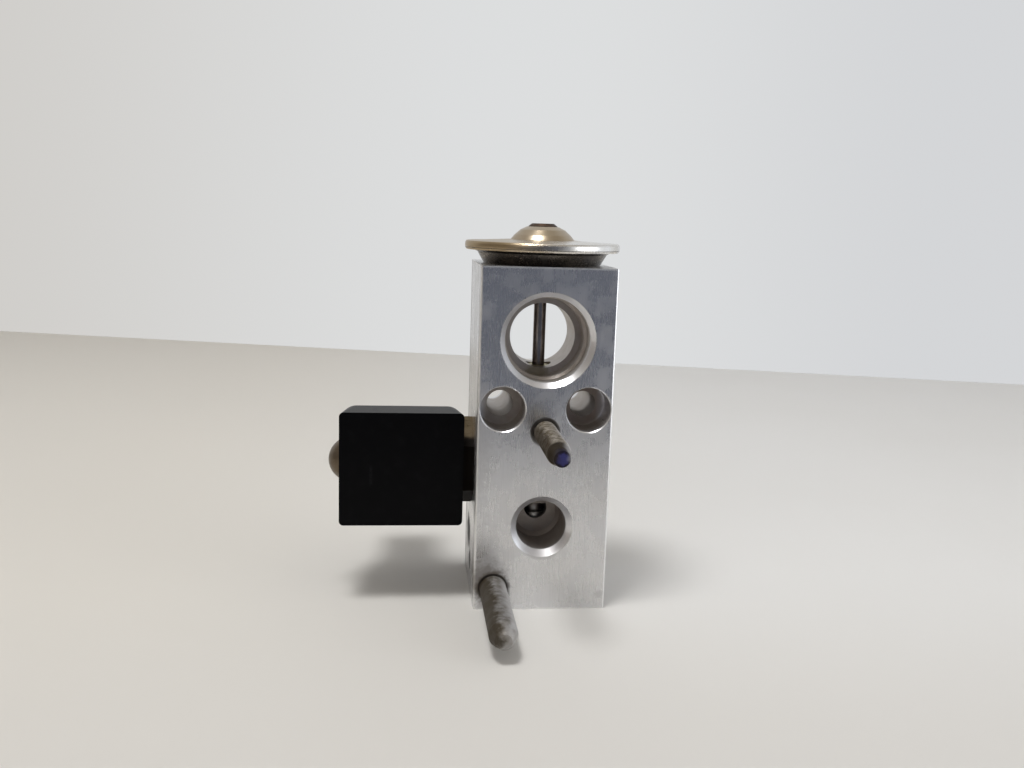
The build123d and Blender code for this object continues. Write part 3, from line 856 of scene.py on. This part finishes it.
@dataclass
class Fasteners(SubAssembly):
    """The threaded clamp stud and the locating pin.

    Attributes:
        nodes: CAD nodes by name.
        pitch: pitch of the stud's thread.
        thread_depth: depth of the thread.
        dog_length: length of the plain end.
        dog_share: its radius as a share of the stud's.
        taper: length of the cone between the end and the thread.
        relief: plain length next to the block's face.
        turn_steps: facets in one turn of the thread.
    """

    nodes: dict[str, bpy.types.Object]
    pitch: float = 1.0 * MM
    thread_depth: float = 0.45 * MM
    dog_length: float = 4.6 * MM
    dog_share: float = 0.68
    taper: float = 0.7 * MM
    relief: float = 0.6 * MM
    turn_steps: int = 32
    low: Vector = field(init=False)
    high: Vector = field(init=False)

    def __post_init__(self) -> None:
        """Read the stud's box."""
        self.low, self.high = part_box("threaded_stud")

    @property
    def radius(self) -> float:
        """Radius of the thread's crest."""
        return (self.high.x - self.low.x) / 2

    @property
    def root(self) -> float:
        """Radius of the thread's root."""
        return self.radius - self.thread_depth

    @property
    def axis_z(self) -> float:
        """Height of the stud's axis."""
        return (self.low.z + self.high.z) / 2

    def thread_mesh(self) -> bmesh.types.BMesh:
        """Closed band of thread, swept round the stud.

        Returns:
            The mesh, along Y.
        """
        start = self.low.y + self.dog_length + 0.3 * MM
        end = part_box("valve_body")[0].y - self.relief
        turns = int((end - start) / self.pitch)
        quarter = self.pitch / 8
        profile = (
            (self.root, 0.0),
            (self.root, quarter),
            (self.radius, 3.5 * quarter),
            (self.radius, 4.5 * quarter),
            (self.root, 8 * quarter),
        )
        mesh = bmesh.new()
        verts = [mesh.verts.new((r, start + y, self.axis_z)) for r, y in profile]
        edges = [mesh.edges.new(pair) for pair in zip(verts, verts[1:])]
        bmesh.ops.spin(
            mesh,
            geom=verts + edges,
            cent=(0.0, 0.0, self.axis_z),
            axis=(0.0, 1.0, 0.0),
            dvec=(0.0, self.pitch / self.turn_steps, 0.0),
            angle=2 * math.pi * turns,
            steps=self.turn_steps * turns,
        )
        bmesh.ops.remove_doubles(mesh, verts=mesh.verts, dist=1e-6)
        bmesh.ops.holes_fill(mesh, edges=[edge for edge in mesh.edges if edge.is_boundary], sides=0)
        return mesh

    def stud_mesh(self) -> bmesh.types.BMesh:
        """Core of the stud with its thread.

        Returns:
            The mesh, along Y.
        """
        mesh = self.thread_mesh()
        dog = self.dog_share * self.radius
        core_r = self.root - 0.02 * MM
        core = [
            (0.0, self.low.y),
            (dog - 0.35 * MM, self.low.y),
            (dog - 0.08 * MM, self.low.y + 0.15 * MM),
            (dog, self.low.y + 0.4 * MM),
            (dog, self.low.y + self.dog_length),
            (core_r, self.low.y + self.dog_length + self.taper),
            (core_r, self.high.y),
            (0.0, self.high.y),
        ]
        body = spun(core, Vector((0.0, 0.0, self.axis_z)), Vector((0.0, 1.0, 0.0)), 64)
        scratch = bpy.data.meshes.new("stud_core")
        body.to_mesh(scratch)
        body.free()
        mesh.from_mesh(scratch)
        bpy.data.meshes.remove(scratch)
        return mesh

    def stud_finish(self) -> StudMetal:
        """Finish of the stud.

        Returns:
            The finish.
        """
        tip = (self.low.y + self.dog_length) / MM
        z = self.axis_z / MM
        rust = (0.16, 0.065, 0.02)
        painted_highlight = (0.5, 0.49, 0.5)
        return StudMetal(
            "stud_steel",
            colour=(0.36, 0.33, 0.29),
            tint=(0.13, 0.105, 0.07),
            roughness=0.4,
            grain_mm=0.3,
            grain_depth_mm=0.012,
            patch_mm=1.6,
            pits=0.5,
            stains=(
                Stain((1.2, tip - 0.6, z - 1.2), 0.5, 1.6, 0.7, rust),
                Stain((-1.6, tip + 3.0, z + 1.0), 0.4, 1.8, 0.5, rust),
                # painted shade along the stud's left side; the next stain is a painted highlight along its
                # right side
                Stain((-3.4, -34.0, z + 0.5), 1.5, 3.6, 0.8, (0.04, 0.03, 0.02), (1.0, 9.0, 1.2)),
                Stain((3.4, -33.0, z + 1.0), 1.0, 3.2, 0.6, painted_highlight, (1.0, 9.0, 1.3), 0.8, 0.4),
            ),
            shine=0.55,
            film_gloss=0.12,
            axis_z=z,
            root_r=self.root / MM,
            crest_r=self.radius / MM,
            paint_y=tip - 2.2,
        )

    def pin_finish(self) -> Metal:
        """Finish of the pin.

        Returns:
            The finish.
        """
        low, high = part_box("locating_pin")
        x, z = (low.x + high.x) / 2 / MM, (low.z + high.z) / 2 / MM
        wear_and_highlight = (0.34, 0.32, 0.30)
        dark = (0.045, 0.035, 0.022)
        painted_highlight = (0.5, 0.49, 0.49)
        return Metal(
            "pin_steel",
            colour=(0.37, 0.36, 0.35),
            tint=(0.17, 0.15, 0.125),
            roughness=0.4,
            grain_mm=0.35,
            grain_depth_mm=0.02,
            patch_mm=2.4,
            pits=0.5,
            stains=(
                Stain((x, low.y / MM, z), 1.4, 3.8, 0.35, wear_and_highlight),
                # painted shade along the pin's left side, then a painted highlight along its right side;
                # darker where the pin meets the block
                Stain((x - 3.6, -33.0, z + 0.8), 2.6, 4.8, 0.9, dark, (1.0, 11.0, 1.3)),
                Stain((x + 3.8, -33.0, z + 1.5), 1.4, 3.8, 0.6, painted_highlight, (1.0, 10.0, 1.3), 1.0, 0.4),
                Stain((x, -19.0, z), 2.0, 4.5, 0.55, dark, (1.2, 0.6, 1.2)),
            ),
            shine=0.55,
            film_gloss=0.1,
        )

    def dress(self) -> None:
        """Build the stud and paint the pin."""
        stud = new_piece("stud_with_thread", self.stud_mesh(), "body", 40.0)
        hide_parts("threaded_stud")
        self.finish_piece(stud, self.stud_finish())
        self.paint("locating_pin", self.pin_finish())


@dataclass
class Head(SubAssembly):
    """The diaphragm head.

    Attributes:
        nodes: CAD nodes by name.
        sheet: thickness of the stamped sheet.
        weld_proud: how far the rolled weld stands out from the rim.
        weld_depth: how far it reaches in.
        weld_steps: points round its section.
    """

    nodes: dict[str, bpy.types.Object]
    sheet: float = 0.9 * MM
    weld_proud: float = 0.05 * MM
    weld_depth: float = 0.9 * MM
    weld_steps: int = 20

    def weld_mesh(self) -> bmesh.types.BMesh:
        """Rolled weld that covers the seam round the rim.

        Returns:
            The ring.
        """
        cover_low, cover_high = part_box("head_upper_cover")
        _, cup_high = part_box("head_lower_cup")
        bottom = cup_high.z - self.sheet
        top = cover_low.z + self.sheet + 0.2 * MM
        middle = (bottom + top) / 2
        tall = (top - bottom) / 2 + self.weld_proud
        reach = (self.weld_depth + self.weld_proud) / 2
        centre_r = cover_high.x + self.weld_proud - reach
        turn = 2 * math.pi / self.weld_steps
        section = [
            (centre_r + reach * math.cos(step * turn), middle + tall * math.sin(step * turn))
            for step in range(self.weld_steps + 1)
        ]
        return spun(section, Vector((0.0, 0.0, 0.0)), Vector((0.0, 0.0, 1.0)), 160)

    def dress(self) -> None:
        """Build the weld and paint the head's pieces."""
        # painted shade: the cup is coloured near black because its underside lies in shade
        cup = Metal(
            "cup_steel", (0.10, 0.092, 0.088), (0.125, 0.108, 0.09), 0.3, Axis.NONE, 0.5, 0.0005, 12.0
        )
        cover = BronzeShadedLeft(
            "cover_steel", (0.80, 0.79, 0.78), (0.74, 0.71, 0.65), 0.27, Axis.NONE, 0.5, 0.001, 8.0
        )
        plug = Metal("plug_copper", (0.10, 0.065, 0.045), (0.045, 0.03, 0.025), 0.5, pits=0.3)
        self.paint("head_lower_cup", cup)
        self.paint("head_upper_cover", cover)
        weld = new_piece("rim_weld", self.weld_mesh(), "body", 60.0)
        weld.data.materials.append(self.nodes["head_upper_cover"].data.materials[0])
        log.info("built %s", weld.name)
        self.paint("diaphragm", Metal("diaphragm_steel", (0.6, 0.6, 0.6), (0.5, 0.5, 0.5), 0.2))
        self.paint("charge_plug", plug)
        self.paint("head_seal", rubber("head_seal_rubber"))
        self.paint("thrust_pad", Metal("pad_aluminium", (0.6, 0.6, 0.61), (0.5, 0.5, 0.5), 0.3))


@dataclass
class ValveTrain(SubAssembly):
    """The rod, ball, spring and adjusting screw.

    Attributes:
        nodes: CAD nodes by name.
        wire_r: radius of the spring's wire.
        turns: turns of the spring.
        turn_steps: facets in one turn.
        lift: how far the ball and its carrier go down; not used.
    """

    nodes: dict[str, bpy.types.Object]
    wire_r: float = 0.4 * MM
    turns: int = 5
    turn_steps: int = 32
    lift: float = 0.8 * MM

    def spring_mesh(self) -> bmesh.types.BMesh:
        """Helical spring between the adjusting screw and the carrier.

        Returns:
            The mesh, round the valve axis.
        """
        low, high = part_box("valve_spring")
        start = Vector((high.x - self.wire_r, 0.0, low.z + self.wire_r))
        upright = Matrix.Translation(start) @ Matrix.Rotation(math.pi / 2, 4, "X")
        climb = (high.z - low.z - 2 * self.wire_r) / (self.turns * self.turn_steps)
        mesh = bmesh.new()
        bmesh.ops.create_circle(mesh, segments=14, radius=self.wire_r, matrix=upright)
        bmesh.ops.spin(
            mesh,
            geom=list(mesh.verts) + list(mesh.edges),
            cent=(0.0, 0.0, 0.0),
            axis=(0.0, 0.0, 1.0),
            dvec=(0.0, 0.0, climb),
            angle=2 * math.pi * self.turns,
            steps=self.turns * self.turn_steps,
        )
        bmesh.ops.holes_fill(mesh, edges=[edge for edge in mesh.edges if edge.is_boundary], sides=0)
        return mesh

    def build_spring(self) -> None:
        """Add the spring."""
        spring = new_piece("superheat_spring", self.spring_mesh(), "body", 60.0)
        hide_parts("valve_spring")
        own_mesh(spring)
        self.finish_piece(spring, Metal("spring_steel", (0.42, 0.42, 0.44), (0.32, 0.30, 0.28), 0.3))

    def dress(self) -> None:
        """Build the spring and paint the pieces on the valve axis."""
        rod = Metal("rod_steel", (0.36, 0.345, 0.34), (0.25, 0.22, 0.205), 0.22, Axis.Z, 0.12, 0.003, 4.0)
        brass = Metal("guide_brass", (0.42, 0.37, 0.20), (0.32, 0.27, 0.13), 0.42)
        screw = Metal("screw_brass", (0.66, 0.52, 0.26), (0.50, 0.38, 0.18), 0.34)
        self.paint("push_rod", rod)
        self.paint("rod_guide", brass)
        self.paint("rod_seal", rubber("rod_seal_rubber"))
        self.paint("valve_ball", Metal("ball_steel", (0.42, 0.42, 0.42), (0.34, 0.33, 0.32), 0.4))
        self.paint("ball_carrier", Metal("carrier_steel", (0.45, 0.45, 0.45), (0.36, 0.34, 0.30), 0.35))
        self.build_spring()
        self.paint("adjusting_screw", screw)
        self.paint("adjuster_seal", rubber("adjuster_rubber"))


@dataclass
class Solenoid(SubAssembly):
    """The tube nut, the coil and what is inside them.

    Attributes:
        nodes: CAD nodes by name.
    """

    nodes: dict[str, bpy.types.Object]

    def nut_finish(self) -> Metal:
        """Finish of the nut, plated, with painted shade that makes its lower part near black.

        Returns:
            The finish.
        """
        low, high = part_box("tube_nut")
        x = (low.x + high.x) / 2 / MM
        z = (low.z + high.z) / 2 / MM
        nut_painted_shade = (0.004, 0.003, 0.003)
        return Metal(
            "nut_plated",
            (0.16, 0.125, 0.08),
            (0.09, 0.068, 0.038),
            0.33,
            Axis.X,
            0.2,
            0.004,
            4.0,
            # painted shade: the lower part of the nut is coloured near black where it lies in shade
            stains=(Stain((x, low.y / MM, z - 5.0), 12.6, 14.4, 0.97, nut_painted_shade, (2.0, 1.0, 1.0), 0.5, 0.95),),
        )

    def dress(self) -> None:
        """Paint the solenoid's pieces."""
        low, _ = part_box("coil_housing")
        scratch = ((low.x + 8.2 * MM) / MM, low.y / MM, (low.z + 13.5 * MM) / MM)
        coal = (0.0015, 0.0015, 0.002)
        housing = Plastic("coil_plastic", coal, (0.007, 0.007, 0.008), 0.34, scratch=scratch, gloss=0.08)
        cap = Metal("cap_steel", (0.20, 0.165, 0.125), (0.13, 0.10, 0.07), 0.34, pits=0.4)
        steel = Metal("tube_steel", (0.58, 0.58, 0.58), (0.5, 0.5, 0.5), 0.26, Axis.X)
        core = Metal("core_steel", (0.5, 0.5, 0.5), (0.42, 0.41, 0.40), 0.3, Axis.X)
        zinc = Metal("yoke_zinc", (0.42, 0.42, 0.43), (0.34, 0.34, 0.35), 0.42)
        contact = Metal("terminal_brass", (0.7, 0.62, 0.42), (0.6, 0.5, 0.3), 0.3)
        self.paint("coil_housing", housing)
        self.paint("tube_nut", self.nut_finish())
        self.paint("retaining_cap", cap)
        self.paint("armature_tube", steel)
        self.paint("fixed_core", core)
        self.paint("plunger", core)
        self.paint("plunger_spring", steel)
        self.paint("plunger_seal", Plastic("plunger_rubber", (0.02, 0.02, 0.02), (0.05, 0.05, 0.05)))
        self.paint("nut_seal", rubber("nut_rubber"))
        self.paint("coil_yoke", zinc)
        self.paint("coil_bobbin", Plastic("bobbin_plastic", (0.05, 0.05, 0.05), (0.09, 0.09, 0.09)))
        self.paint("coil_winding", Winding("winding_copper"))
        self.paint("terminal_left", contact)
        self.paint("terminal_right", contact)


# ---------------------------------------------------------------- studio
@dataclass(frozen=True)
class Lamp:
    """A square soft light.

    Attributes:
        name: object name.
        place: where it is, in metres.
        size: side length.
        power: in watts.
        colour: light colour.
    """

    name: str
    place: tuple[float, float, float]
    size: float
    power: float
    colour: Colour

    def build(self, target: Vector) -> None:
        """Add the light.

        Args:
            target: what it points at.
        """
        data = bpy.data.lights.new(self.name, "AREA")
        data.size = self.size
        data.energy = self.power
        data.color = self.colour
        light = bpy.data.objects.new(self.name, data)
        light.location = self.place
        light.rotation_mode = "QUATERNION"
        light.rotation_quaternion = (target - light.location).to_track_quat("-Z", "Y")
        bpy.context.scene.collection.objects.link(light)


@dataclass
class Studio:
    """Floor, backdrop, lights and camera.

    Attributes:
        eye: the camera's place, in millimetres.
        heading: how far it looks to the right of +Y, in degrees.
        pitch: how far it looks up, in degrees.
        roll: how far its right side is raised, in degrees.
        lens: focal length for a 36 mm wide sensor.
        wall: two points on the line where the backdrop meets the floor, in millimetres.
        floor_front: where the floor ends in front, in metres.
        floor_right: where its front edge ends on the right.
        wall_past: how far the backdrop goes on to the right of its second point.
    """

    eye: tuple[float, float, float] = (-36.18, -262.37, 101.79)
    heading: float = 6.355
    pitch: float = -9.569
    roll: float = 1.808
    lens: float = 34.56
    wall: tuple[tuple[float, float], tuple[float, float]] = ((-360.0, 560.0), (320.0, 380.0))
    floor_front: float = -0.19
    floor_right: float = 0.16
    wall_past: float = 0.25

    def floor_finish(self) -> bpy.types.Material:
        """Pale floor with painted light: warmer on the left, lighter on the right, and painted shade
        towards the front.

        Returns:
            The material.
        """
        graph = Surface("floor_pale")
        x, y, _ = graph.millimetres()
        # painted light and shade: warmer on the left, lighter to the right, darker towards the front
        shade = graph.mix((0.74, 0.71, 0.655), (0.82, 0.82, 0.815), x.rise(-160.0, 140.0))
        shade = graph.mix(shade, (0.66, 0.64, 0.61), y.rise(10.0, -110.0) * 0.7)
        uneven = graph.mix(shade, (0.70, 0.685, 0.65), graph.noise(120.0) * 0.3)
        return graph.finish(Base_Color=uneven, Roughness=0.6)

    def wall_finish(self) -> bpy.types.Material:
        """Pale backdrop that glows for the camera and in reflections, with painted light that is darker on
        the left and lightest in the middle.

        Returns:
            The material.
        """
        graph = Surface("backdrop_pale")
        x, _, _ = graph.millimetres()
        # painted light: the glow is darker on the left, lightest in the middle and a little darker to the
        # right
        shade = graph.mix((0.63, 0.615, 0.59), (0.72, 0.73, 0.735), x.rise(-420.0, 60.0))
        painted_glow = graph.mix(shade, (0.66, 0.67, 0.685), x.rise(80.0, 330.0))
        graph.finish(Base_Color=(0.7, 0.7, 0.7), Roughness=0.9)
        rays = graph.node("ShaderNodeLightPath", {}, {}).outputs
        direct = Wire(graph, rays["Is Camera Ray"])
        direct = direct.at_least(Wire(graph, rays["Is Glossy Ray"]))
        direct = direct.at_least(Wire(graph, rays["Is Transmission Ray"]))
        glow = graph.node("ShaderNodeEmission", {}, {"Color": painted_glow, "Strength": 1.0})
        shaders = {0: direct, 1: graph.shader.outputs["BSDF"], 2: glow.outputs["Emission"]}
        both = graph.node("ShaderNodeMixShader", {}, shaders)
        graph.tree.links.new(both.outputs["Shader"], graph.output.inputs["Surface"])
        return graph.material

    def quad(self, name: str, corners: list[Vector], material: bpy.types.Material) -> None:
        """Add one stage face.

        Args:
            name: object name.
            corners: its four corners.
            material: its material.
        """
        mesh = bmesh.new()
        mesh.faces.new([mesh.verts.new(corner) for corner in corners])
        data = bpy.data.meshes.new(name)
        mesh.to_mesh(data)
        mesh.free()
        data.materials.append(material)
        face = bpy.data.objects.new(name, data)
        bpy.context.scene.collection.objects.link(face)

    def build_set(self) -> None:
        """Add the floor and the backdrop."""
        first = Vector((*self.wall[0], 0.0)) * MM
        second = Vector((*self.wall[1], 0.0)) * MM
        along = (second - first).normalized()
        left = first - along * 2.0
        right = second + along * self.wall_past
        front_left = Vector((left.x, self.floor_front, 0.0))
        front_right = Vector((self.floor_right, self.floor_front, 0.0))
        rise = Vector((0.0, 0.0, 2.0))
        self.quad("floor", [left, front_left, front_right, right], self.floor_finish())
        self.quad("backdrop", [left, right, right + rise, left + rise], self.wall_finish())

    def build_lights(self) -> None:
        """Add the lamps."""
        middle = Vector((-0.01, 0.0, 0.04))
        lamps = (
            Lamp("overhead_light", (-0.21, -0.18, 0.94), 0.25, 4.6, (1.0, 1.0, 0.995)),
            Lamp("side_panel", (0.62, -0.36, 0.12), 0.4, 1.1, (0.96, 0.98, 1.0)),
            Lamp("front_fill", (-0.5, -0.7, 0.5), 0.5, 0.5, (1.0, 0.95, 0.88)),
        )
        for lamp in lamps:
            lamp.build(middle)

    def build_world(self) -> None:
        """Add a room that is dark in front, warm on the left and bright on the right."""
        world = bpy.data.worlds.new("room")
        bpy.context.scene.world = world
        world.use_nodes = True
        graph = Graph(world.node_tree, "Generated")
        x, y, z = graph.split(graph.coordinates)
        room = graph.mix((0.72, 0.70, 0.67), (0.12, 0.13, 0.16), y.rise(0.3, -0.4))
        room = graph.mix(room, (0.28, 0.25, 0.22), x.rise(-0.35, -0.85))
        room = graph.mix(room, (0.85, 0.88, 0.92), x.rise(0.35, 0.85))
        room = graph.mix(room, (0.46, 0.43, 0.385), z.rise(0.35, 0.9))
        background = graph.node("ShaderNodeBackground", {}, {"Color": room, "Strength": 1.0})
        output = graph.node("ShaderNodeOutputWorld", {}, {})
        graph.tree.links.new(background.outputs["Background"], output.inputs["Surface"])

    def build_camera(self) -> None:
        """Add the camera."""
        data = bpy.data.cameras.new("camera")
        data.lens = self.lens
        data.sensor_width = 36.0
        data.clip_start = 0.01
        data.clip_end = 20.0
        camera = bpy.data.objects.new("camera", data)
        turn = Matrix.Rotation(math.radians(-self.heading), 4, "Z")
        tilt = Matrix.Rotation(math.radians(90.0 + self.pitch), 4, "X")
        lean = Matrix.Rotation(math.radians(self.roll), 4, "Z")
        camera.matrix_world = Matrix.Translation(Vector(self.eye) * MM) @ turn @ tilt @ lean
        bpy.context.scene.collection.objects.link(camera)
        bpy.context.scene.camera = camera

    def build(self) -> None:
        """Build the whole set."""
        self.build_set()
        self.build_lights()
        self.build_world()
        self.build_camera()
        bpy.context.scene.view_settings.view_transform = "Standard"
        log.info("built the studio")


def main() -> None:
    """Load the frame, build every sub-assembly and the studio."""
    logging.basicConfig(level=logging.INFO, format="%(message)s")
    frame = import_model()
    nodes = frame["nodes"]
    for assembly in (Block(nodes), Fasteners(nodes), Head(nodes), ValveTrain(nodes), Solenoid(nodes)):
        assembly.dress()
    Studio().build()


if __name__ == "__main__":
    main()
